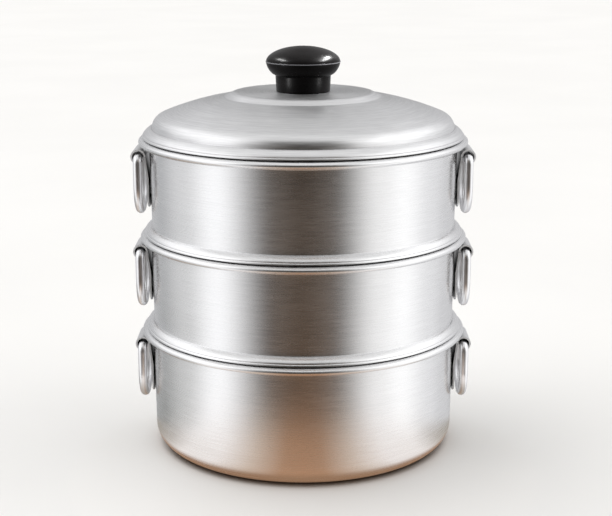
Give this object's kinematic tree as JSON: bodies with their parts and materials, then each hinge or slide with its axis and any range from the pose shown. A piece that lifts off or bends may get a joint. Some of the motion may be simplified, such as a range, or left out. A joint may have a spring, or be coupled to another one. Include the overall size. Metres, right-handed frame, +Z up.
{
  "type": "idli steamer",
  "caption": "Stacking aluminium steamer: a deep pot for water, perforated pans with idli plates, ring handles on folded straps and a domed lid with a black knob.",
  "frame": {"origin": "centre of the bottom pot's flat base, on the plane it stands on", "axes": "+Z up along the stack's axis; the two rows of ring handles lie on -X (left) and +X (right); -Y faces the viewer"},
  "size_m": [0.25, 0.24, 0.2952],
  "materials": {
    "satin_aluminium": "satin, brushed round the wall",
    "lid_aluminium": "soft satin, spun",
    "plate_aluminium": "satin, pressed",
    "strap_aluminium": "half polished sheet",
    "polished_ring": "polished wire",
    "rivet_aluminium": "half polished",
    "black_knob": "glossy moulded",
    "brass_insert": "turned",
    "steel_fixings": "plain"
  },
  "bodies": {
    "pot": {"bottom_pot": "satin_aluminium", "bottom_left_strap": "strap_aluminium", "bottom_right_strap": "strap_aluminium", "bottom_rivets": "rivet_aluminium"},
    "middle_tier": {"middle_pan": "satin_aluminium", "middle_left_strap": "strap_aluminium", "middle_right_strap": "strap_aluminium", "middle_rivets": "rivet_aluminium"},
    "top_tier": {"top_pan": "satin_aluminium", "top_left_strap": "strap_aluminium", "top_right_strap": "strap_aluminium", "top_rivets": "rivet_aluminium"},
    "lid_body": {"lid": "lid_aluminium", "lid_knob": "black_knob", "knob_insert": "brass_insert", "knob_screw": "steel_fixings", "knob_washer": "steel_fixings"},
    "middle_plate": {"middle_idli_plate": "plate_aluminium"},
    "top_plate": {"top_idli_plate": "plate_aluminium"},
    "bottom_left_ring_body": {"bottom_left_ring": "polished_ring"},
    "bottom_right_ring_body": {"bottom_right_ring": "polished_ring"},
    "middle_left_ring_body": {"middle_left_ring": "polished_ring"},
    "middle_right_ring_body": {"middle_right_ring": "polished_ring"},
    "top_left_ring_body": {"top_left_ring": "polished_ring"},
    "top_right_ring_body": {"top_right_ring": "polished_ring"}
  },
  "joints": [
    {"name": "middle_lift", "type": "slide", "parent": "pot", "child": "middle_tier", "axis": [0, 0, 1], "range_m": [0, 0.12]},
    {"name": "top_lift", "type": "slide", "parent": "middle_tier", "child": "top_tier", "axis": [0, 0, 1], "range_m": [0, 0.17]},
    {"name": "lid_lift", "type": "slide", "parent": "top_tier", "child": "lid_body", "axis": [0, 0, 1], "range_m": [0, 0.17]},
    {"name": "middle_plate_lift", "type": "slide", "parent": "middle_tier", "child": "middle_plate", "axis": [0, 0, 1], "range_m": [0, 0.085]},
    {"name": "top_plate_lift", "type": "slide", "parent": "top_tier", "child": "top_plate", "axis": [0, 0, 1], "range_m": [0, 0.085]},
    {"name": "bottom_left_ring_swing", "type": "hinge", "parent": "pot", "child": "bottom_left_ring_body", "pos_m": [-0.1196, 0, 0.075], "axis": [0, 1, 0], "range_deg": [-4, 155]},
    {"name": "bottom_right_ring_swing", "type": "hinge", "parent": "pot", "child": "bottom_right_ring_body", "pos_m": [0.1196, 0, 0.075], "axis": [0, -1, 0], "range_deg": [-4, 155]},
    {"name": "middle_left_ring_swing", "type": "hinge", "parent": "middle_tier", "child": "middle_left_ring_body", "pos_m": [-0.1196, 0, 0.1455], "axis": [0, 1, 0], "range_deg": [-4, 155]},
    {"name": "middle_right_ring_swing", "type": "hinge", "parent": "middle_tier", "child": "middle_right_ring_body", "pos_m": [0.1196, 0, 0.1455], "axis": [0, -1, 0], "range_deg": [-4, 155]},
    {"name": "top_left_ring_swing", "type": "hinge", "parent": "top_tier", "child": "top_left_ring_body", "pos_m": [-0.1196, 0, 0.216], "axis": [0, 1, 0], "range_deg": [-4, 155]},
    {"name": "top_right_ring_swing", "type": "hinge", "parent": "top_tier", "child": "top_right_ring_body", "pos_m": [0.1196, 0, 0.216], "axis": [0, -1, 0], "range_deg": [-4, 155]}
  ],
  "couplings": [
    {"joint": "middle_plate_lift", "follows": "top_lift", "ratio": 0.5},
    {"joint": "top_plate_lift", "follows": "lid_lift", "ratio": 0.5}
  ]
}
